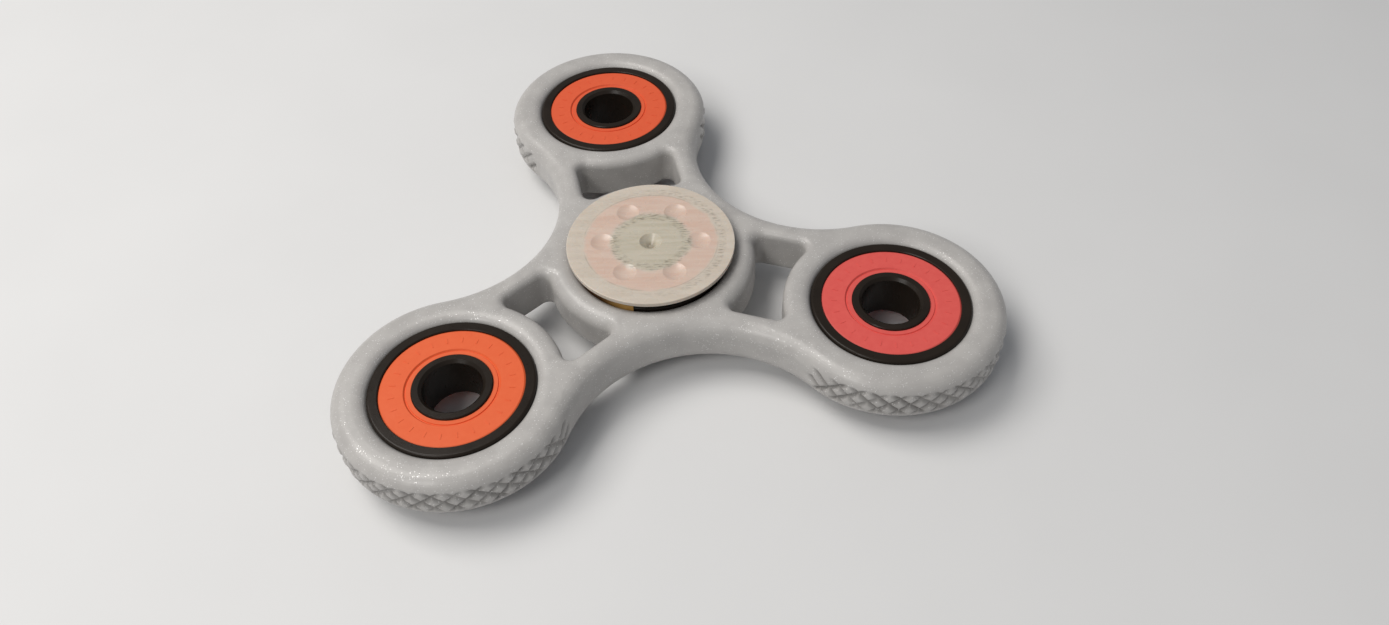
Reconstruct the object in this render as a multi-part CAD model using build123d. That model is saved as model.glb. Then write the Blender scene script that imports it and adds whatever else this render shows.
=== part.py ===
from build123d import *
import math
import os

# Three-lobed fidget spinner: a printed frame that carries four 608 ball bearings, with a finger cap
# pressed into each side of the hub bearing. Origin: hub axis, halfway through the thickness. +Z is up,
# and the back lobe points along +Y. All lengths are in millimetres and all angles in degrees.

# 608 bearing: 8 mm bore, 22 mm outside, 7 mm wide
BEARING_R = 11.0
BEARING_BORE_R = 4.0
BEARING_HALF = 3.5
OUTER_EDGE_ROUND = 0.35
BORE_CHAMFER = 0.4

# rolling parts
BALL_COUNT = 7
BALL_R = 1.9845
PITCH_R = 7.5
RACE_R = 2.03
INNER_SHOULDER_R = 6.05
INNER_SHOULDER_HALF = 2.65
INNER_FACE_R = 5.30
OUTER_SHOULDER_R = 8.90
OUTER_SHOULDER_HALF = 2.60
SEAL_SEAT_R = 9.55
FACE_CHAMFER = 0.1

# cage: a crown with a closed side and seven snap-in pockets
CAGE_INNER_R = 6.6
CAGE_OUTER_R = 8.4
CAGE_BOTTOM = -2.35
CAGE_TOP = 0.8
CAGE_POCKET_R = 2.05

# seals: a steel plate behind moulded rubber, recessed a little from the ring faces
PLATE_INNER_R = 6.3
PLATE_OUTER_R = 9.3
PLATE_THICKNESS = 0.2
SEAL_INNER_R = 5.36
SEAL_OUTER_R = 9.53
SEAL_FACE = 3.3
LIP_FACE = 3.2
LIP_R = 5.95
GROOVE_R = 6.12
GROOVE_FLOOR = 3.06
MARK_R = 7.85
MARK_COUNT = 24
MARK_SIZE = (0.16, 0.8)
MARK_HEIGHT = 0.045

# frame: it sits a little higher than the bearings pressed into it
LOBE_SPACING = 34.64
LOBE_R = 15.87
FRAME_HALF = 3.5
FRAME_RISE = 0.45
FRAME_ROUND = 2.3
POCKET_ROUND_WIDTH = 1.65
POCKET_ROUND_DROP = 1.0
WINDOW_HALF_WIDTH = 7.6
WINDOW_HUB_R = 15.0
WINDOW_LOBE_R = 14.8
WINDOW_CORNER_R = 1.2
WINDOW_ROUND = 1.3
LOBES = {"back": 90, "left": 210, "right": 330}

# shim: a strip of tape that fills the hub pocket's clearance round part of the bearing
SHIM_THICKNESS = 0.12
SHIM_START = 63
SHIM_SWEEP = 182.5
SHIM_BOTTOM = -2.9
SHIM_TOP = 3.95

# finger caps
CAP_R = 12.0
CAP_FACE = 5.65
CAP_RIM = 0.6
CAP_UNDERSIDE = 4.35
CAP_UNDERSIDE_R = 11.2
CAP_BOSS_R = 5.2
CAP_POST_R = 3.99
CAP_POST_END = 0.25
CAP_EDGE_ROUND = 0.1
FINGER_DIMPLE_COUNT = 6
FINGER_DIMPLE_TURN = -13
FINGER_DIMPLE_PITCH_R = 6.9
FINGER_DIMPLE_R = 1.65
FINGER_DIMPLE_DEPTH = 0.35
CENTRE_DIMPLE_R = 1.6
CENTRE_DIMPLE_TIP_R = 0.35
CENTRE_DIMPLE_DEPTH = 1.1


def polar(radius, angle):
    return (radius * math.cos(math.radians(angle)), radius * math.sin(math.radians(angle)))


def turned(points):
    """Solid of revolution about Z from a closed (radius, height) outline."""
    outline = Plane.XZ * Polyline(*points, close=True)
    return revolve(make_face(outline), Axis.Z)


def mirrored(points):
    """A (radius, height) half outline, top first, joined to its mirror image below."""
    return points + [(r, -z) for r, z in reversed(points)]


# ---- bearing ----


def race():
    return Torus(PITCH_R, RACE_R)


def outer_ring():
    half = [
        (BEARING_R, BEARING_HALF),
        (SEAL_SEAT_R + FACE_CHAMFER, BEARING_HALF),
        (SEAL_SEAT_R, BEARING_HALF - FACE_CHAMFER),
        (SEAL_SEAT_R, OUTER_SHOULDER_HALF),
        (OUTER_SHOULDER_R, OUTER_SHOULDER_HALF),
    ]
    ring = turned(mirrored(half))
    outer_edges = ring.edges().filter_by(GeomType.CIRCLE).filter_by(lambda e: e.radius > BEARING_R - 0.01)
    return fillet(outer_edges, OUTER_EDGE_ROUND) - race()


def inner_ring():
    half = [
        (BEARING_BORE_R, BEARING_HALF - BORE_CHAMFER),
        (BEARING_BORE_R + BORE_CHAMFER, BEARING_HALF),
        (INNER_FACE_R - FACE_CHAMFER, BEARING_HALF),
        (INNER_FACE_R, BEARING_HALF - FACE_CHAMFER),
        (INNER_FACE_R, INNER_SHOULDER_HALF),
        (INNER_SHOULDER_R, INNER_SHOULDER_HALF),
    ]
    return turned(mirrored(half)) - race()


def ball_set(radius):
    places = [Pos(*polar(PITCH_R, n * 360 / BALL_COUNT)) for n in range(BALL_COUNT)]
    return [place * Sphere(radius) for place in places]


def cage():
    band = turned(
        [
            (CAGE_INNER_R, CAGE_BOTTOM),
            (CAGE_OUTER_R, CAGE_BOTTOM),
            (CAGE_OUTER_R, CAGE_TOP),
            (CAGE_INNER_R, CAGE_TOP),
        ]
    )
    for pocket in ball_set(CAGE_POCKET_R):
        band -= pocket
    return band


def seal_plate():
    top = OUTER_SHOULDER_HALF + PLATE_THICKNESS
    return turned(
        [
            (PLATE_INNER_R, OUTER_SHOULDER_HALF),
            (PLATE_OUTER_R, OUTER_SHOULDER_HALF),
            (PLATE_OUTER_R, top),
            (PLATE_INNER_R, top),
        ]
    )


def seal():
    """Rubber face with a thin lip inside a moulded groove, and a ring of plain raised marks."""
    base = OUTER_SHOULDER_HALF + PLATE_THICKNESS
    disc = turned(
        [
            (SEAL_INNER_R, base),
            (SEAL_INNER_R, LIP_FACE),
            (LIP_R, LIP_FACE),
            (LIP_R + 0.06, GROOVE_FLOOR),
            (GROOVE_R, GROOVE_FLOOR),
            (GROOVE_R + 0.2, SEAL_FACE),
            (SEAL_OUTER_R - 0.2, SEAL_FACE),
            (SEAL_OUTER_R, SEAL_FACE - 0.12),
            (SEAL_OUTER_R, base),
        ]
    )
    across, along = MARK_SIZE
    mark = Pos(MARK_R, 0, SEAL_FACE) * Box(along, across, 2 * MARK_HEIGHT)
    for n in range(MARK_COUNT):
        disc += Rot(0, 0, n * 360 / MARK_COUNT) * mark
    return disc


def underside(piece):
    """The same piece turned over about the X axis."""
    return Rot(180, 0, 0) * piece


# ---- frame ----


def frame_outline():
    """Lobe arcs joined by hollow arcs; their centres form a regular hexagon, so every joint is tangent."""
    arcs = []
    for angle in LOBES.values():
        centre = Vector(*polar(LOBE_SPACING, angle))
        start = centre + Vector(*polar(LOBE_R, angle - 120))
        end = centre + Vector(*polar(LOBE_R, angle + 120))
        next_centre = Vector(*polar(LOBE_SPACING, angle + 120))
        next_start = next_centre + Vector(*polar(LOBE_R, angle))
        arcs.append(ThreePointArc(start, polar(LOBE_SPACING + LOBE_R, angle), end))
        arcs.append(ThreePointArc(end, polar(LOBE_R, angle + 60), next_start))
    return make_face(Wire(arcs))


def window():
    """One opening, for the lobe along +Y: straight ends, and sides concentric with hub and lobe."""
    width = 2 * WINDOW_HALF_WIDTH
    strip = Pos(0, LOBE_SPACING / 2) * Rectangle(width, LOBE_SPACING)
    outline = strip - Circle(WINDOW_HUB_R) - Pos(0, LOBE_SPACING) * Circle(WINDOW_LOBE_R)
    outline = fillet(outline.vertices(), WINDOW_CORNER_R)
    return Pos(0, 0, -FRAME_HALF) * extrude(outline, 2 * FRAME_HALF)


def pocket(radius):
    """Bearing hole whose mouths open out in a round that ends level with the frame's faces."""
    arc_r = (POCKET_ROUND_WIDTH**2 + POCKET_ROUND_DROP**2) / (2 * POCKET_ROUND_DROP)
    mouth_r = radius + POCKET_ROUND_WIDTH
    wall_end = FRAME_HALF - POCKET_ROUND_DROP
    outside = FRAME_HALF + 1
    turn = math.asin(POCKET_ROUND_WIDTH / arc_r) / 2
    middle_r = mouth_r - arc_r * math.sin(turn)
    middle_z = FRAME_HALF - arc_r * (1 - math.cos(turn))
    upper_arc = ThreePointArc((radius, 0, wall_end), (middle_r, 0, middle_z), (mouth_r, 0, FRAME_HALF))
    around = Polyline(
        (mouth_r, 0, FRAME_HALF),
        (mouth_r, 0, outside),
        (0, 0, outside),
        (0, 0, -outside),
        (mouth_r, 0, -outside),
        (mouth_r, 0, -FRAME_HALF),
    )
    lower_arc = ThreePointArc((mouth_r, 0, -FRAME_HALF), (middle_r, 0, -middle_z), (radius, 0, -wall_end))
    wall = Line((radius, 0, -wall_end), (radius, 0, wall_end))
    return revolve(make_face(upper_arc + around + lower_arc + wall), Axis.Z)


def frame_body():
    thickness = 2 * FRAME_HALF
    body = Pos(0, 0, -FRAME_HALF) * extrude(frame_outline(), thickness)
    rims = body.edges().filter_by(lambda e: abs(abs(e.center().Z) - FRAME_HALF) < 0.01)
    body = fillet(rims, FRAME_ROUND)

    plate = Cylinder(LOBE_SPACING + 2 * LOBE_R, thickness)
    for angle in LOBES.values():
        plate -= Rot(0, 0, angle - 90) * window()
    window_rims = plate.edges().filter_by(
        lambda e: abs(abs(e.center().Z) - FRAME_HALF) < 0.01 and e.bounding_box().size.X < LOBE_SPACING
    )
    plate = fillet(window_rims, WINDOW_ROUND)

    body = body & plate
    body -= pocket(BEARING_R + SHIM_THICKNESS)
    for angle in LOBES.values():
        body -= Pos(*polar(LOBE_SPACING, angle)) * pocket(BEARING_R)
    return Pos(0, 0, FRAME_RISE) * body


def hub_shim():
    height = SHIM_TOP - SHIM_BOTTOM
    strip = Rectangle(SHIM_THICKNESS, height)
    section = Plane.XZ * Pos(BEARING_R + SHIM_THICKNESS / 2, SHIM_BOTTOM + height / 2) * strip
    return Rot(0, 0, SHIM_START) * revolve(section, Axis.Z, SHIM_SWEEP)


# ---- finger caps ----


def finger_cap():
    """Disc with a bevelled underside, a boss that sits on the inner ring and a post in its bore."""
    cap = turned(
        [
            (0, CAP_POST_END),
            (CAP_POST_R - BORE_CHAMFER, CAP_POST_END),
            (CAP_POST_R, CAP_POST_END + BORE_CHAMFER),
            (CAP_POST_R, BEARING_HALF),
            (CAP_BOSS_R, BEARING_HALF),
            (CAP_BOSS_R, CAP_UNDERSIDE),
            (CAP_UNDERSIDE_R, CAP_UNDERSIDE),
            (CAP_R, CAP_FACE - CAP_RIM),
            (CAP_R, CAP_FACE),
            (0, CAP_FACE),
        ]
    )
    rim_edges = cap.edges().filter_by(GeomType.CIRCLE).filter_by(lambda e: e.radius > CAP_R - 0.01)
    cap = fillet(rim_edges, CAP_EDGE_ROUND)
    sphere_r = (FINGER_DIMPLE_R**2 + FINGER_DIMPLE_DEPTH**2) / (2 * FINGER_DIMPLE_DEPTH)
    sphere_z = CAP_FACE - FINGER_DIMPLE_DEPTH + sphere_r
    for n in range(FINGER_DIMPLE_COUNT):
        angle = FINGER_DIMPLE_TURN + n * 360 / FINGER_DIMPLE_COUNT
        x, y = polar(FINGER_DIMPLE_PITCH_R, angle)
        cap -= Pos(x, y, sphere_z) * Sphere(sphere_r)
    centre = turned(
        [
            (0, CAP_FACE - CENTRE_DIMPLE_DEPTH),
            (CENTRE_DIMPLE_TIP_R, CAP_FACE - CENTRE_DIMPLE_DEPTH),
            (CENTRE_DIMPLE_R, CAP_FACE),
            (CENTRE_DIMPLE_R, CAP_FACE + 1),
            (0, CAP_FACE + 1),
        ]
    )
    return cap - centre


def bearing_nodes(place):
    """Every piece of one bearing, by name."""
    balls = Compound(children=ball_set(BALL_R))
    return {
        place + "_outer_ring": outer_ring(),
        place + "_inner_ring": inner_ring(),
        place + "_balls": balls,
        place + "_cage": cage(),
        place + "_seal_plate_upper": seal_plate(),
        place + "_seal_plate_lower": underside(seal_plate()),
        place + "_seal_upper": seal(),
        place + "_seal_lower": underside(seal()),
    }


def main():
    os.makedirs("parts", exist_ok=True)
    nodes = {
        "frame_body": frame_body(),
        "hub_shim": hub_shim(),
        "finger_cap_top": finger_cap(),
        "finger_cap_bottom": underside(finger_cap()),
    }
    nodes.update(bearing_nodes("hub"))
    for place, angle in LOBES.items():
        move = Pos(*polar(LOBE_SPACING, angle))
        for name, piece in bearing_nodes(place).items():
            nodes[name] = move * piece
    for name, shape in nodes.items():
        export_step(shape, "parts/" + name + ".step")


main()
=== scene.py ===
import math

import bmesh
import bpy
import numpy as np
from mathutils import Matrix, Vector
from mathutils.geometry import delaunay_2d_cdt


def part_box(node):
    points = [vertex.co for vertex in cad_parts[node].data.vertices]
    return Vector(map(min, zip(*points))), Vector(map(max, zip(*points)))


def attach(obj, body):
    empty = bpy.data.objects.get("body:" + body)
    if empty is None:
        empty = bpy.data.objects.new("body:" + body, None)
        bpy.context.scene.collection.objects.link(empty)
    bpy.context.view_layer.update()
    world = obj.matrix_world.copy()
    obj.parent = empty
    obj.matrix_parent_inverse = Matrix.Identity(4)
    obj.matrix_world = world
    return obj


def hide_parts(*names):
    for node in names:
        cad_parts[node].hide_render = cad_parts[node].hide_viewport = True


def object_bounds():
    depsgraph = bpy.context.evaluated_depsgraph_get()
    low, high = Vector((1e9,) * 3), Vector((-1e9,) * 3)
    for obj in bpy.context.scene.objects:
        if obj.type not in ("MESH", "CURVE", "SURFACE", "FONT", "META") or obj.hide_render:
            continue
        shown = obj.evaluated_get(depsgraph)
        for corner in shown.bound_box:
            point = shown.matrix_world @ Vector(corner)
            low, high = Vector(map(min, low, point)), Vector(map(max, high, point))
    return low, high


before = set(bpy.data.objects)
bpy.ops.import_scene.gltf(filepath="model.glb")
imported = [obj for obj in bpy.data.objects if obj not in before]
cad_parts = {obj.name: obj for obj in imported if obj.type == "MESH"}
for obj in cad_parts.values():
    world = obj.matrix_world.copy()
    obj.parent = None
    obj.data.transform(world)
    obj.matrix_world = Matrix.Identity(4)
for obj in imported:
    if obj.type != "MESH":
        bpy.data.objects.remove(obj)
cad_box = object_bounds()

# A three-lobed fidget spinner. The printed frame is rebuilt here with its knurl, soft edges and fine
# layer lines; every other piece keeps its CAD shape and gets its material.
# Shapes are worked out in millimetres and stored in metres.

MM = 0.001

# frame surface, in millimetres
EDGE_ROUND = 2.3
WINDOW_HALF_WIDTH = 7.6
WINDOW_HUB_R = 15.0
WINDOW_LOBE_R = 14.8
WINDOW_CORNER_R = 1.2
HUB_SIDE_ROUND = 2.0
LOBE_SIDE_ROUND = 1.4
END_ROUND = 1.2
POCKET_ROUND_WIDTH = 1.65
POCKET_ROUND_DROP = 1.0
RIDGE_SOFTNESS = 0.06
RIDGE_FULL_DROP = 0.05

# knurl: two crossed families of grooves round each lobe, ten degrees apart
KNURL_PITCH = 10.0
KNURL_HEIGHT = 2.4
KNURL_CELLS = 16
KNURL_LINES = 11
KNURL_DEPTH = 0.5
KNURL_HALF_GROOVE = 0.55
KNURL_SHARPNESS = 1.2
KNURL_WEAR = (0.72, 1.1)
KNURL_FADE_FROM = 1.6
KNURL_FADE_TO = 2.1
LOBE_ARC = 120
HOLLOW_STEP = 1.6
WALL_TOP = 2.7

# mesh of the faces: least spacing of loose points, and how far they keep from the edge and the holes
POINT_SPACING = 0.2
EDGE_GAP = 0.12
HOLE_GAP = 0.1
LOOP_SPACING = 0.3
WINDOW_TOP_DEGREES = 45

# fine print and turning marks
LAYER_HEIGHT = 0.2
TURNING_PITCH = 0.05

LOBE_NAMES = ("back", "left", "right")
BEARING_NAMES = ("hub",) + LOBE_NAMES
CAP_THREAD_TURN = 13
rng = np.random.default_rng(608)


def polar(radius, degrees):
    angle = np.radians(degrees)
    return np.stack([radius * np.cos(angle), radius * np.sin(angle)], -1)


def node_centre(name):
    low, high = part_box(name)
    return np.array((low + high) / 2)[:2] / MM


# ---- sizes taken from the frame ----

ring_low, ring_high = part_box("back_outer_ring")
BEARING_R = (ring_high.x - ring_low.x) / 2 / MM
SHIM_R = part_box("hub_shim")[1].y / MM
pocket_radii = {"hub": SHIM_R, "back": BEARING_R, "left": BEARING_R, "right": BEARING_R}
body_low, body_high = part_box("frame_body")
HALF = (body_high.z - body_low.z) / 2 / MM
MIDDLE = (body_high.z + body_low.z) / 2 / MM
centres = {name: node_centre(name + "_outer_ring") for name in BEARING_NAMES}
SPACING = centres["back"][1]
LOBE_R = body_high.y / MM - SPACING
HOLLOW_R = SPACING - LOBE_R
LOBE_ANGLES = [math.degrees(math.atan2(centres[n][1], centres[n][0])) for n in LOBE_NAMES]


# ---- outline of the frame ----


class Loop:
    """A closed line of points with a normal out of the material, and how far its edge is rounded."""

    def __init__(self, points, normals, rounding, turn):
        self.points = np.array(points)
        self.normals = np.array(normals)
        self.rounding = np.array(rounding)
        self.turn = np.array(turn)

    def shifted(self, distance):
        return self.points - self.normals * np.reshape(distance, (-1, 1))


def frame_loop():
    """Lobe arcs at the knurl's spacing, and hollow arcs between them.

    turn is the angle round the lobe, and 180 along the hollows.
    """
    points, normals, turn = [], [], []
    lobe_steps = 2 * LOBE_ARC * KNURL_CELLS // int(KNURL_PITCH)
    for angle in LOBE_ANGLES:
        round_lobe = np.linspace(-LOBE_ARC, LOBE_ARC, lobe_steps + 1)
        out = polar(1, angle + round_lobe)
        points.extend(polar(SPACING, angle) + LOBE_R * out)
        normals.extend(out)
        turn.extend(round_lobe)
        hollow = np.linspace(angle - 60, angle - 180, int(120 / HOLLOW_STEP) + 1)[1:-1]
        out = polar(1, hollow)
        points.extend(polar(SPACING, angle + 60) + HOLLOW_R * out)
        normals.extend(-out)
        turn.extend(np.full(len(hollow), 180.0))
    return Loop(points, normals, np.full(len(points), EDGE_ROUND), turn)


def window_loop(lobe_angle):
    """One window: two straight ends, and sides concentric with the hub and with the lobe."""
    corner_x = WINDOW_HALF_WIDTH - WINDOW_CORNER_R
    hub_corner_y = math.sqrt((WINDOW_HUB_R + WINDOW_CORNER_R) ** 2 - corner_x**2)
    lobe_corner_y = SPACING - math.sqrt((WINDOW_LOBE_R + WINDOW_CORNER_R) ** 2 - corner_x**2)
    hub_turn = math.degrees(math.atan2(hub_corner_y, corner_x))
    lobe_turn = math.degrees(math.atan2(SPACING - lobe_corner_y, -corner_x))
    points, normals, rounding = [], [], []

    def arc(centre, radius, start, end, into_hole, round_from, round_to):
        steps = max(4, int(abs(math.radians(end - start)) * radius / LOOP_SPACING))
        out = polar(1, np.linspace(start, end, steps + 1)[:-1])
        points.extend(np.array(centre) + radius * out)
        normals.extend(into_hole * out)
        rounding.extend(np.linspace(round_from, round_to, steps + 1)[:-1])

    def straight(x, start_y, end_y, into_hole):
        steps = max(4, int(abs(end_y - start_y) / LOOP_SPACING))
        along = np.linspace(start_y, end_y, steps + 1)[:-1]
        points.extend(np.stack([np.full(steps, x), along], -1))
        normals.extend(np.tile([into_hole, 0.0], (steps, 1)))
        rounding.extend(np.full(steps, END_ROUND))

    right, left = corner_x, -corner_x
    hub, lobe, end = HUB_SIDE_ROUND, LOBE_SIDE_ROUND, END_ROUND
    arc((0, 0), WINDOW_HUB_R, 180 - hub_turn, hub_turn, 1, hub, hub)
    arc((right, hub_corner_y), WINDOW_CORNER_R, hub_turn + 180, 360, -1, hub, end)
    straight(WINDOW_HALF_WIDTH, hub_corner_y, lobe_corner_y, -1)
    arc((right, lobe_corner_y), WINDOW_CORNER_R, 0, lobe_turn, -1, end, lobe)
    arc((0, SPACING), WINDOW_LOBE_R, lobe_turn - 180, -lobe_turn, 1, lobe, lobe)
    arc((left, lobe_corner_y), WINDOW_CORNER_R, 180 - lobe_turn, 180, -1, lobe, end)
    straight(-WINDOW_HALF_WIDTH, lobe_corner_y, hub_corner_y, 1)
    arc((left, hub_corner_y), WINDOW_CORNER_R, 180, 360 - hub_turn, -1, end, hub)
    spin = np.radians(lobe_angle - 90)
    rotate = np.array([[math.cos(spin), math.sin(spin)], [-math.sin(spin), math.cos(spin)]])
    return Loop(np.array(points) @ rotate, np.array(normals) @ rotate, rounding, np.full(len(points), 180.0))


def pocket_loop(name, count=160):
    """A bearing pocket's circle."""
    out = polar(1, np.arange(count) * 360 / count)
    points = centres[name] + pocket_radii[name] * out
    return Loop(points, -out, np.zeros(count), np.full(count, 180.0))


# ---- height of the frame's face ----


def outline_depth(p):
    """How far points of the face lie inside the outline."""
    depth = np.full(len(p), 1e9)
    for angle in LOBE_ANGLES:
        v = p - polar(SPACING, angle)
        out = np.degrees(np.arctan2(v[:, 1], v[:, 0])) - angle
        out = (out + 180) % 360 - 180
        inside = LOBE_R - np.hypot(v[:, 0], v[:, 1])
        depth = np.where(np.abs(out) <= LOBE_ARC + 0.01, np.minimum(depth, inside), depth)
        v = p - polar(SPACING, angle + 60)
        out = np.degrees(np.arctan2(v[:, 1], v[:, 0])) - (angle - 120)
        out = (out + 180) % 360 - 180
        inside = np.hypot(v[:, 0], v[:, 1]) - HOLLOW_R
        depth = np.where(np.abs(out) <= 60.01, np.minimum(depth, inside), depth)
    return depth


def loop_distance(p, loop):
    """Distance from each point to a loop, and the loop's rounding there."""
    a, b = loop.points, np.roll(loop.points, -1, 0)
    near = np.argmin(((p[:, None] - a[None]) ** 2).sum(2), 1)
    best, rounding = np.full(len(p), 1e9), np.zeros(len(p))
    for first in (near, near - 1):
        start, side = a[first], b[first] - a[first]
        t = np.clip(((p - start) * side).sum(1) / (side**2).sum(1), 0, 1)
        gap = np.hypot(*(p - start - side * t[:, None]).T)
        r = loop.rounding[first] * (1 - t) + loop.rounding[(first + 1) % len(a)] * t
        rounding = np.where(gap < best, r, rounding)
        best = np.minimum(best, gap)
    return best, rounding


def round_drop(depth, radius):
    """How far a quarter-round edge has fallen at this depth from the wall."""
    short = np.clip(radius - depth, 0, radius)
    return radius - np.sqrt(np.maximum(radius**2 - short**2, 0))


def face_height(p, windows):
    """Height of the top face: the deepest of the edge rounds, eased where two of them meet."""
    pocket_arc = (POCKET_ROUND_WIDTH**2 + POCKET_ROUND_DROP**2) / (2 * POCKET_ROUND_DROP)
    drops = [round_drop(outline_depth(p), EDGE_ROUND)]
    for loop in windows:
        near = np.hypot(*(p - loop.points.mean(0)).T) < 2 * WINDOW_HALF_WIDTH
        drop = np.zeros(len(p))
        gap, rounding = loop_distance(p[near], loop)
        drop[near] = round_drop(gap, rounding)
        drops.append(drop)
    for name in BEARING_NAMES:
        gap = np.hypot(*(p - centres[name]).T) - pocket_radii[name]
        short = np.clip(POCKET_ROUND_WIDTH - gap, 0, POCKET_ROUND_WIDTH)
        drops.append(pocket_arc - np.sqrt(pocket_arc**2 - short**2))
    drops = np.array(drops)
    worst = drops.max(0)
    others = np.sort(drops, 0)[-2]
    meet = np.clip(1 - (worst - others) / (2 * RIDGE_SOFTNESS), 0, 1)
    return HALF - worst - RIDGE_SOFTNESS / 2 * meet**2 * np.clip(others / RIDGE_FULL_DROP, 0, 1)


# ---- walls between the two faces ----


def knurl(turn, z, line_depth):
    """Groove depth, from 0 to 1, at each turn round a lobe and height."""
    pitch_mm = math.radians(KNURL_PITCH) * LOBE_R
    apart = pitch_mm * KNURL_HEIGHT / math.hypot(pitch_mm, KNURL_HEIGHT)
    depth = np.zeros(np.broadcast(turn, z).shape)
    spans = ((-KNURL_LINES, KNURL_LINES + 1), (-KNURL_LINES - 1, KNURL_LINES))
    for family, (first, last) in enumerate(spans):
        along = turn / KNURL_PITCH + (z if family else -z) / KNURL_HEIGHT
        line = np.round(along)
        gap = np.abs(along - line) * apart
        strength = line_depth[family][(line.astype(int) + KNURL_LINES + 4) % line_depth.shape[1]]
        groove = np.clip(1 - gap / KNURL_HALF_GROOVE, 0, 1) ** KNURL_SHARPNESS * strength
        depth = np.maximum(depth, np.where((line >= first) & (line <= last), groove, 0))
    fade = np.clip((KNURL_FADE_TO - np.abs(z)) / (KNURL_FADE_TO - KNURL_FADE_FROM), 0, 1)
    return depth * fade


def outer_wall(loop):
    """Rows of the frame's outer wall from the top face's edge to the bottom's, with the knurl cut in."""
    step = KNURL_HEIGHT / KNURL_CELLS
    top = round(WALL_TOP / step) * step
    heights = np.arange(top, -top - step / 2, -step)
    line_depth = rng.uniform(*KNURL_WEAR, (2, 40))
    rows, grooves = [], []
    for z in heights:
        fallen = max(0.0, abs(z) - (HALF - EDGE_ROUND))
        inset = EDGE_ROUND - math.sqrt(EDGE_ROUND**2 - fallen**2)
        groove = np.zeros(len(loop.turn))
        for lobe in range(3):
            on_lobe = lobe_columns(loop, lobe)
            groove[on_lobe] = knurl(loop.turn[on_lobe], np.full(on_lobe.sum(), z), line_depth)
        points = loop.shifted(inset + KNURL_DEPTH * groove)
        rows.append(np.column_stack([points, np.full(len(points), z)]))
        grooves.append(groove)
    return rows, grooves


def lobe_columns(loop, lobe):
    """Which points of the outline lie on one lobe's arc."""
    angle = LOBE_ANGLES[lobe]
    v = loop.points - polar(SPACING, angle)
    on_circle = np.abs(np.hypot(v[:, 0], v[:, 1]) - LOBE_R) < 1e-6
    return on_circle & (np.abs(loop.turn) <= LOBE_ARC)


def window_border_inset(loop):
    """How far the top face's border stands back from a window's wall."""
    return loop.rounding * (1 - math.cos(math.radians(WINDOW_TOP_DEGREES)))


def window_wall(loop):
    """Rows of a window's wall: the lower half of a round, the straight part, and the same again below."""
    rows = []
    r = loop.rounding
    for degrees in range(WINDOW_TOP_DEGREES, -1, -9):
        a = math.radians(degrees)
        rows.append(np.column_stack([loop.shifted(r * (1 - math.cos(a))), HALF - r * (1 - math.sin(a))]))
    lower = [row * np.array([1, 1, -1]) for row in reversed(rows)]
    middle = [rows[-1] * (1 - t) + lower[0] * t for t in (0.25, 0.5, 0.75)]
    rows = rows + middle + lower
    return rows, [np.zeros(len(loop.points)) for _ in rows]


def pocket_wall(loop):
    """Rows of a bearing pocket's straight wall."""
    z = HALF - POCKET_ROUND_DROP
    rows = [np.column_stack([loop.points, np.full(len(loop.points), s * z)]) for s in (1, 0.8, -0.8, -1)]
    return rows, [np.zeros(len(loop.points)) for _ in rows]


# ---- the frame's mesh ----


def inside_polygon(p, polygon):
    inside = np.zeros(len(p), bool)
    for (x0, y0), (x1, y1) in zip(polygon, np.roll(polygon, -1, 0)):
        crosses = (y0 > p[:, 1]) != (y1 > p[:, 1])
        if crosses.any():
            x = x0 + (p[:, 1] - y0) / (y1 - y0 + 1e-30) * (x1 - x0)
            inside ^= crosses & (p[:, 0] < x)
    return inside


def face_points(outline, windows, pockets, edge_inset):
    """Loose points over the face, in rings that follow each rounded edge."""
    rings = []
    for degrees, every in ((50, 2), (56, 3), (62, 3), (68, 3), (75, 4), (82, 4), (90, 4)):
        inset = outline.rounding * (1 - math.cos(math.radians(degrees)))
        rings.append(outline.shifted(inset)[::every])
    for loop in windows:
        for degrees, every in ((52, 1), (60, 1), (68, 1), (77, 2), (90, 2)):
            rings.append(loop.shifted(loop.rounding * (1 - math.cos(math.radians(degrees))))[::every])
    for loop in pockets:
        for width in (0.15, 0.35, 0.6, 0.9, 1.2, POCKET_ROUND_WIDTH, 1.9):
            rings.append(loop.shifted(width)[:: 1 if width < 1 else 2])
    points = np.concatenate(rings)
    keep = outline_depth(points) > edge_inset + EDGE_GAP
    for loop in windows:
        keep &= ~inside_polygon(points, loop.shifted(window_border_inset(loop) + HOLE_GAP))
    for name in BEARING_NAMES:
        keep &= np.hypot(*(points - centres[name]).T) > pocket_radii[name] + HOLE_GAP
    return points[keep]


def thinned(fixed, loose, least):
    """The loose points that keep their distance from the fixed ones and from each other."""
    grid = {}

    def cell(p):
        return (int(p[0] // least), int(p[1] // least))

    for p in fixed:
        grid.setdefault(cell(p), []).append(p)
    kept = []
    for p in loose:
        cx, cy = cell(p)
        near = (q for i in (-1, 0, 1) for j in (-1, 0, 1) for q in grid.get((cx + i, cy + j), ()))
        if all((q[0] - p[0]) ** 2 + (q[1] - p[1]) ** 2 > least**2 for q in near):
            kept.append(p)
            grid.setdefault((cx, cy), []).append(p)
    return np.array(kept)


def face_triangles(plan, borders):
    """Triangles over the face, between the outline and the holes, as triples of plan indices."""
    sides, first = [], 0
    for border in borders:
        n = len(border)
        sides.extend((first + i, first + (i + 1) % n) for i in range(n))
        first += n
    found = delaunay_2d_cdt([Vector(p) for p in plan], sides, [], 0, 1e-7)
    plan_of = [ids[0] for ids in found[3]]
    triangles = np.array([[plan_of[i] for i in face] for face in found[2]])
    middle = plan[triangles].mean(1)
    keep = inside_polygon(middle, borders[0])
    for border in borders[1:]:
        keep &= ~inside_polygon(middle, border)
    return triangles[keep]


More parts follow.
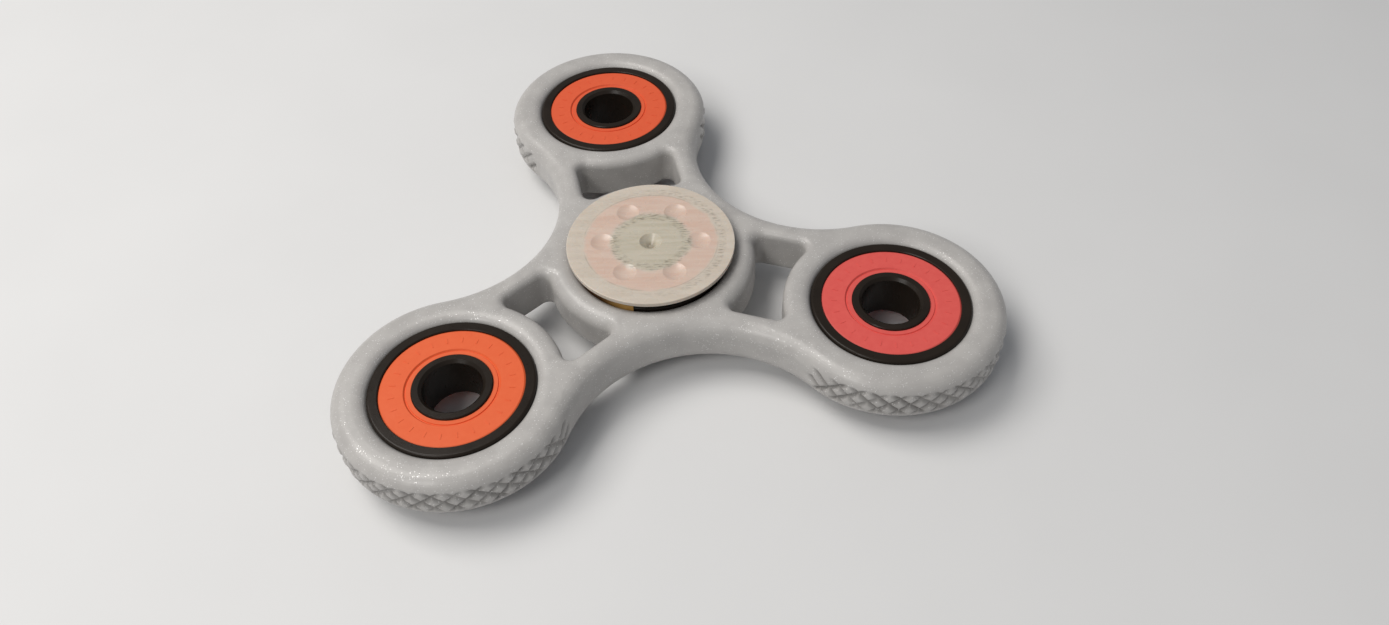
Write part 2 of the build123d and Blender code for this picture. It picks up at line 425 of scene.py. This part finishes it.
def build_frame():
    """The printed frame: two mirrored faces joined by the walls of the outline, windows and pockets."""
    outline = frame_loop()
    windows = [window_loop(angle) for angle in LOBE_ANGLES]
    pockets = [pocket_loop(name) for name in BEARING_NAMES]
    walls = [outer_wall(outline)] + [window_wall(w) for w in windows] + [pocket_wall(p) for p in pockets]
    borders = [rows[0][:, :2] for rows, _ in walls]
    fixed = np.concatenate(borders)
    edge_inset = float(np.hypot(*(outline.points[0] - borders[0][0])))
    loose = thinned(fixed, face_points(outline, windows, pockets, edge_inset), POINT_SPACING)
    plan = np.concatenate([fixed, loose])
    triangles = face_triangles(plan, borders)

    height = face_height(plan, windows)
    height[: len(fixed)] = np.concatenate([rows[0][:, 2] for rows, _ in walls])
    top = np.column_stack([plan, height])
    bottom = top * np.array([1, 1, -1])
    vertices = [top, bottom]
    grooves = [np.zeros(len(top)), np.zeros(len(bottom))]
    faces = [tuple(t) for t in triangles] + [tuple(t[::-1] + len(plan)) for t in triangles]
    total, first = 2 * len(plan), 0
    for rows, depth in walls:
        n = len(rows[0])
        index = [first + np.arange(n)]
        for row, d in zip(rows[1:-1], depth[1:-1]):
            vertices.append(row)
            grooves.append(d)
            index.append(total + np.arange(n))
            total += n
        index.append(len(plan) + first + np.arange(n))
        for upper, lower in zip(index, index[1:]):
            upper_next, lower_next = np.roll(upper, -1), np.roll(lower, -1)
            faces.extend(zip(upper.tolist(), lower.tolist(), lower_next.tolist(), upper_next.tolist()))
        first += n
    mesh = bpy.data.meshes.new("printed_frame")
    mesh.from_pydata(((np.concatenate(vertices) + (0, 0, MIDDLE)) * MM).tolist(), [], faces)
    groove = mesh.attributes.new("groove", "FLOAT", "POINT")
    groove.data.foreach_set("value", np.concatenate(grooves).astype(np.float32))
    work = bmesh.new()
    work.from_mesh(mesh)
    bmesh.ops.recalc_face_normals(work, faces=work.faces)
    work.to_mesh(mesh)
    work.free()
    mesh.shade_smooth()
    piece = bpy.data.objects.new("printed_frame", mesh)
    bpy.context.scene.collection.objects.link(piece)
    return piece


# ---- materials ----


class Nodes:
    """Short calls for building one material's node tree."""

    def __init__(self, name):
        self.material = bpy.data.materials.new(name)
        self.material.use_nodes = True
        self.tree = self.material.node_tree
        self.shader = self.tree.nodes["Principled BSDF"]
        self.place = self.add("ShaderNodeTexCoord").outputs["Object"]

    def add(self, kind, settings=None, **inputs):
        node = self.tree.nodes.new(kind)
        for name, value in (settings or {}).items():
            setattr(node, name, value)
        for name, value in inputs.items():
            self.put(node.inputs[name.replace("_", " ")], value)
        return node

    def put(self, socket, value):
        if isinstance(value, bpy.types.NodeSocket):
            self.tree.links.new(value, socket)
        else:
            socket.default_value = value

    def set(self, **values):
        for name, value in values.items():
            self.put(self.shader.inputs[name.replace("_", " ")], value)

    def maths(self, operation, *values):
        node = self.tree.nodes.new("ShaderNodeMath")
        node.operation = operation
        for socket, value in zip(node.inputs, values):
            self.put(socket, value)
        return node.outputs[0]

    def band(self, value, low, high, to_low=0.0, to_high=1.0):
        """Smooth step of value from low to high."""
        node = self.add("ShaderNodeMapRange", {"interpolation_type": "SMOOTHSTEP"})
        for socket, v in zip(node.inputs, (value, low, high, to_low, to_high)):
            self.put(socket, v)
        return node.outputs[0]

    def mix(self, share, a, b):
        node = self.tree.nodes.new("ShaderNodeMix")
        node.data_type = "RGBA"
        self.put(node.inputs[0], share)
        self.put(node.inputs[6], a)
        self.put(node.inputs[7], b)
        return node.outputs[2]

    def noise(self, scale, detail=2.0, place=None):
        node = self.add("ShaderNodeTexNoise", Scale=scale, Detail=detail)
        self.put(node.inputs["Vector"], place or self.place)
        return node.outputs["Fac"]

    def scaled(self, x, y, z, turn=0.0):
        """Object coordinates turned about Z, in degrees, then stretched."""
        turned = self.add("ShaderNodeMapping", Rotation=(0.0, 0.0, math.radians(turn)), Vector=self.place)
        stretched = self.add("ShaderNodeMapping", Scale=(x, y, z), Vector=turned.outputs["Vector"])
        return stretched.outputs["Vector"]

    def bump(self, height, distance, strength=1.0, normal=None):
        node = self.add("ShaderNodeBump", Strength=strength, Distance=distance, Height=height)
        if normal is not None:
            self.put(node.inputs["Normal"], normal)
        return node.outputs["Normal"]

    def axis(self, index):
        node = self.add("ShaderNodeSeparateXYZ")
        self.put(node.inputs[0], self.place)
        return node.outputs[index]

    def radius(self, centre=(0.0, 0.0)):
        """Distance from a vertical line, in metres."""
        dx = self.maths("SUBTRACT", self.axis(0), centre[0] * MM)
        dy = self.maths("SUBTRACT", self.axis(1), centre[1] * MM)
        squares = [self.maths("MULTIPLY", d, d) for d in (dx, dy)]
        return self.maths("SQRT", self.maths("ADD", *squares))


def grey(value):
    return (value, value, value, 1.0)


def frame_print():
    """Silver-grey filament with glitter: fine layer lines, faint mottling, scattered bright flakes, and
    painted shade in the knurl's grooves.
    """
    n = Nodes("frame_print")
    layer = n.maths("SINE", n.maths("MULTIPLY", n.axis(2), 2 * math.pi / (LAYER_HEIGHT * MM)))
    wobble = n.noise(350, 2.0)
    mottled = n.mix(n.band(wobble, 0.3, 0.7), (0.42, 0.405, 0.39, 1.0), (0.465, 0.45, 0.432, 1.0))
    groove = n.add("ShaderNodeAttribute", {"attribute_name": "groove"}).outputs["Fac"]
    # painted shade: the knurl's grooves darken with their depth, standing in for the shade that falls in
    # them
    groove_painted_shade = n.mix(n.maths("MULTIPLY", groove, 0.62), mottled, (0.09, 0.08, 0.07, 1.0))
    flakes = n.add("ShaderNodeTexVoronoi", Scale=9000.0)
    n.put(flakes.inputs["Vector"], n.place)
    pick = n.add("ShaderNodeSeparateColor")
    n.put(pick.inputs[0], flakes.outputs["Color"])
    bright = n.band(pick.outputs[0], 0.945, 1.0, 0.0, 0.7)
    n.set(Base_Color=n.mix(bright, groove_painted_shade, (0.9, 0.89, 0.88, 1.0)))
    n.set(Metallic=n.maths("MULTIPLY", bright, 0.35))
    rough = n.maths("ADD", 0.3, n.maths("MULTIPLY", n.noise(300), 0.14))
    n.set(Roughness=n.maths("SUBTRACT", rough, n.maths("MULTIPLY", bright, 0.15)))
    strength = n.band(n.noise(90, 2.0, n.scaled(1.0, 1.0, 14.0)), 0.35, 0.65, 0.15, 0.6)
    lines = n.bump(n.maths("MULTIPLY", layer, strength), 0.012 * MM, 0.5)
    grain = n.bump(n.noise(1700, 3.0), 0.035 * MM, 0.45, lines)
    tilt = n.bump(n.maths("MULTIPLY", pick.outputs[1], bright), 0.05 * MM, 0.7, grain)
    n.set(Normal=tilt)
    return n.material


def cap_print():
    """Translucent natural filament over the hub bearing: its seal and rings show through as soft tints."""
    n = Nodes("cap_print")
    r = n.radius()
    cream, pink, clay = (0.58, 0.51, 0.43, 1.0), (0.63, 0.46, 0.375, 1.0), (0.50, 0.455, 0.36, 1.0)
    cloudy = n.maths("MULTIPLY", n.maths("SUBTRACT", n.noise(420), 0.5), 1.2 * MM)
    soft_r = n.maths("ADD", r, cloudy)
    over_seal = n.maths("MULTIPLY", n.band(soft_r, 5.3 * MM, 6.3 * MM), n.band(soft_r, 9.8 * MM, 9.2 * MM))
    over_post = n.band(soft_r, 5.9 * MM, 5.2 * MM)
    colour = n.mix(over_post, n.mix(over_seal, cream, pink), clay)
    thread = n.scaled(1.0, 4.0, 1.0, CAP_THREAD_TURN)
    dashes = n.band(n.noise(1050, 2.5, thread), 0.44, 0.72)
    over_ring = n.maths("MULTIPLY", n.band(r, 9.6 * MM, 10.0 * MM), n.band(r, 11.0 * MM, 10.6 * MM))
    over_bore = n.maths("MULTIPLY", n.band(r, 4.2 * MM, 4.7 * MM), n.band(r, 6.1 * MM, 5.5 * MM))
    over_ring = n.maths("MULTIPLY", over_ring, n.band(n.axis(0), -6 * MM, 9 * MM, 0.25, 1.0))
    marks_and_pit_shade = n.maths("MULTIPLY", dashes, n.maths("ADD", over_ring, n.maths("MULTIPLY", over_bore, 1.2)))
    seat = n.maths("MULTIPLY", n.band(r, 9.45 * MM, 9.55 * MM), n.band(r, 9.75 * MM, 9.6 * MM))
    marks_and_pit_shade = n.maths("MAXIMUM", marks_and_pit_shade, n.maths("MULTIPLY", seat, n.band(n.noise(160), 0.4, 0.6, 0.0, 0.5)))
    # painted shade: a dark spot at the bottom of the centre dimple
    marks_and_pit_shade = n.maths("MAXIMUM", marks_and_pit_shade, n.band(r, 0.9 * MM, 0.3 * MM))
    colour = n.mix(n.maths("MULTIPLY", marks_and_pit_shade, 0.6), colour, (0.15, 0.12, 0.08, 1.0))
    threads = n.noise(1500, 2.0, n.scaled(0.12, 1.0, 1.0, CAP_THREAD_TURN))
    colour = n.mix(n.band(threads, 0.3, 0.7, 0.0, 0.22), colour, (0.76, 0.70, 0.62, 1.0))
    n.set(Base_Color=colour, Roughness=n.maths("ADD", 0.2, n.maths("MULTIPLY", n.noise(500), 0.16)))
    n.set(Subsurface_Weight=0.25, Subsurface_Radius=(1.0, 0.7, 0.5), Subsurface_Scale=0.8 * MM)
    n.set(Normal=n.bump(n.noise(1800, 2.0), 0.02 * MM, 0.3, n.bump(threads, 0.03 * MM, 0.5)))
    return n.material


def black_steel(centre, name):
    """Black-oxide bearing steel, a little brown, with fine turned rings round the bearing's centre."""
    n = Nodes("black_steel_" + name)
    r = n.radius(centre)
    turned = n.maths("SINE", n.maths("MULTIPLY", r, 2 * math.pi / (TURNING_PITCH * MM)))
    patches = n.noise(260, 3.0)
    n.set(Base_Color=n.mix(patches, (0.011, 0.008, 0.006, 1.0), (0.026, 0.019, 0.014, 1.0)))
    n.set(Specular_IOR_Level=0.17, Roughness=n.maths("ADD", 0.24, n.maths("MULTIPLY", n.noise(900), 0.1)))
    n.set(Normal=n.bump(turned, 0.002 * MM, 0.25))
    return n.material


def seal_rubber(name, colour, deep):
    """Moulded rubber: soft mottling between two tones, a satin gloss and a fine grain."""
    n = Nodes(name)
    n.set(Base_Color=n.mix(n.noise(1400, 3.0), colour, deep))
    n.set(Roughness=n.maths("ADD", 0.45, n.maths("MULTIPLY", n.noise(400), 0.2)))
    n.set(Specular_IOR_Level=0.3)
    n.set(Normal=n.bump(n.noise(3000, 2.0), 0.02 * MM, 0.25))
    return n.material


def amber_film():
    """Amber tape edge: streaked gold towards its two ends, with painted shade darkening it along its middle.
    """
    n = Nodes("shim_film")
    streaks = n.noise(600, 2.0, n.scaled(1.0, 1.0, 6.0))
    lit = n.mix(streaks, (0.46, 0.22, 0.04, 1.0), (0.78, 0.50, 0.18, 1.0))
    # painted shade: the tape darkens towards -x and is fully dark below x = -9 mm, where the cap shades it;
    # lit is its colour outside that shade
    n.set(Base_Color=n.mix(n.band(n.axis(0), -9.0 * MM, -5.5 * MM), (0.10, 0.045, 0.015, 1.0), lit))
    n.set(Roughness=n.maths("ADD", 0.15, n.maths("MULTIPLY", streaks, 0.2)), Coat_Weight=0.5)
    return n.material


def bright_steel():
    """Polished balls."""
    n = Nodes("ball_steel")
    n.set(Base_Color=n.mix(n.noise(500), grey(0.62), grey(0.74)), Metallic=1.0)
    n.set(Roughness=n.maths("ADD", 0.05, n.maths("MULTIPLY", n.noise(800), 0.06)))
    return n.material


def pressed_steel():
    """Satin pressed plate behind each seal."""
    n = Nodes("plate_steel")
    n.set(Base_Color=n.mix(n.noise(400), grey(0.42), grey(0.56)), Metallic=1.0)
    n.set(Roughness=n.maths("ADD", 0.3, n.maths("MULTIPLY", n.noise(900), 0.15)))
    n.set(Normal=n.bump(n.noise(2500), 0.01 * MM, 0.3))
    return n.material


def cage_nylon():
    """Brown moulded nylon."""
    n = Nodes("cage_nylon")
    n.set(Base_Color=n.mix(n.noise(500), (0.10, 0.055, 0.03, 1.0), (0.16, 0.09, 0.05, 1.0)))
    n.set(Roughness=n.maths("ADD", 0.4, n.maths("MULTIPLY", n.noise(600), 0.15)))
    return n.material


def dress(node, material):
    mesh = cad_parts[node].data
    mesh.materials.clear()
    mesh.materials.append(material)


def dress_all():
    cap = cap_print()
    dress("finger_cap_top", cap)
    dress("finger_cap_bottom", cap)
    dress("hub_shim", amber_film())
    orange = seal_rubber("seal_orange", (0.75, 0.112, 0.032, 1.0), (0.80, 0.14, 0.045, 1.0))
    coral = seal_rubber("seal_coral", (0.70, 0.095, 0.035, 1.0), (0.76, 0.12, 0.045, 1.0))
    red = seal_rubber("seal_red", (0.68, 0.085, 0.075, 1.0), (0.76, 0.12, 0.10, 1.0))
    seals = {"hub": red, "back": coral, "left": orange, "right": red}
    balls, plates, cage = bright_steel(), pressed_steel(), cage_nylon()
    for name in BEARING_NAMES:
        steel = black_steel(centres[name], name)
        dress(name + "_outer_ring", steel)
        dress(name + "_inner_ring", steel)
        dress(name + "_balls", balls)
        dress(name + "_cage", cage)
        for side in ("_upper", "_lower"):
            dress(name + "_seal" + side, seals[name])
            dress(name + "_seal_plate" + side, plates)


# ---- floor, light and camera ----

CAMERA_LENS = 27.47
CAMERA_SENSOR = 36.0
CAMERA_AIM = (3.975, -9.862)
CAMERA_DISTANCE = 149.19
CAMERA_AZIMUTH = 11.891
CAMERA_ELEVATION = 48.696
CAMERA_ROLL = -1.846


def floor():
    n = Nodes("floor")
    n.set(Base_Color=n.mix(n.noise(40, 2.0), grey(0.70), grey(0.74)), Roughness=0.7)
    mesh = bpy.data.meshes.new("floor")
    size, z = 3.0, cad_box[0].z
    corners = [(-size, -size, z), (size, -size, z), (size, size, z), (-size, size, z)]
    mesh.from_pydata(corners, [], [(0, 1, 2, 3)])
    mesh.materials.append(n.material)
    sheet = bpy.data.objects.new("floor", mesh)
    bpy.context.scene.collection.objects.link(sheet)


def softbox(name, azimuth, elevation, distance, size, power, colour=(1.0, 1.0, 1.0)):
    """A square area light aimed at the origin. Azimuth 0 is towards -Y, and 90 towards -X."""
    lamp = bpy.data.lights.new(name, "AREA")
    lamp.size, lamp.energy, lamp.color = size, power, colour
    a, e = math.radians(azimuth), math.radians(elevation)
    away = Vector((-math.sin(a) * math.cos(e), -math.cos(a) * math.cos(e), math.sin(e)))
    light = bpy.data.objects.new(name, lamp)
    light.location = away * distance
    light.rotation_mode = "QUATERNION"
    light.rotation_quaternion = away.to_track_quat("Z", "Y")
    bpy.context.scene.collection.objects.link(light)


def studio():
    world = bpy.data.worlds.new("studio")
    world.use_nodes = True
    world.node_tree.nodes["Background"].inputs["Color"].default_value = (0.92, 0.95, 1.0, 1.0)
    world.node_tree.nodes["Background"].inputs["Strength"].default_value = 0.26
    bpy.context.scene.world = world
    bpy.context.scene.view_settings.view_transform = "Standard"
    softbox("key", 118, 60, 0.5, 0.3, 1.75, (1.0, 0.97, 0.93))
    softbox("front", 52, 46, 0.6, 0.2, 0.95, (1.0, 0.98, 0.95))


def camera():
    data = bpy.data.cameras.new("camera")
    data.lens, data.sensor_width = CAMERA_LENS, CAMERA_SENSOR
    data.clip_start, data.clip_end = 0.005, 10.0
    a, e = math.radians(CAMERA_AZIMUTH), math.radians(CAMERA_ELEVATION)
    back = Vector((-math.sin(a) * math.cos(e), -math.cos(a) * math.cos(e), math.sin(e)))
    eye = bpy.data.objects.new("camera", data)
    eye.location = Vector((CAMERA_AIM[0], CAMERA_AIM[1], 0)) * MM + back * CAMERA_DISTANCE * MM
    level = (-back).to_track_quat("-Z", "Y").to_matrix()
    eye.rotation_mode = "QUATERNION"
    eye.rotation_quaternion = (level @ Matrix.Rotation(math.radians(CAMERA_ROLL), 3, "Z")).to_quaternion()
    bpy.context.scene.collection.objects.link(eye)
    bpy.context.scene.camera = eye


def main():
    printed = build_frame()
    printed.data.materials.append(frame_print())
    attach(printed, "spinner")
    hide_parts("frame_body")
    dress_all()
    floor()
    studio()
    camera()


main()
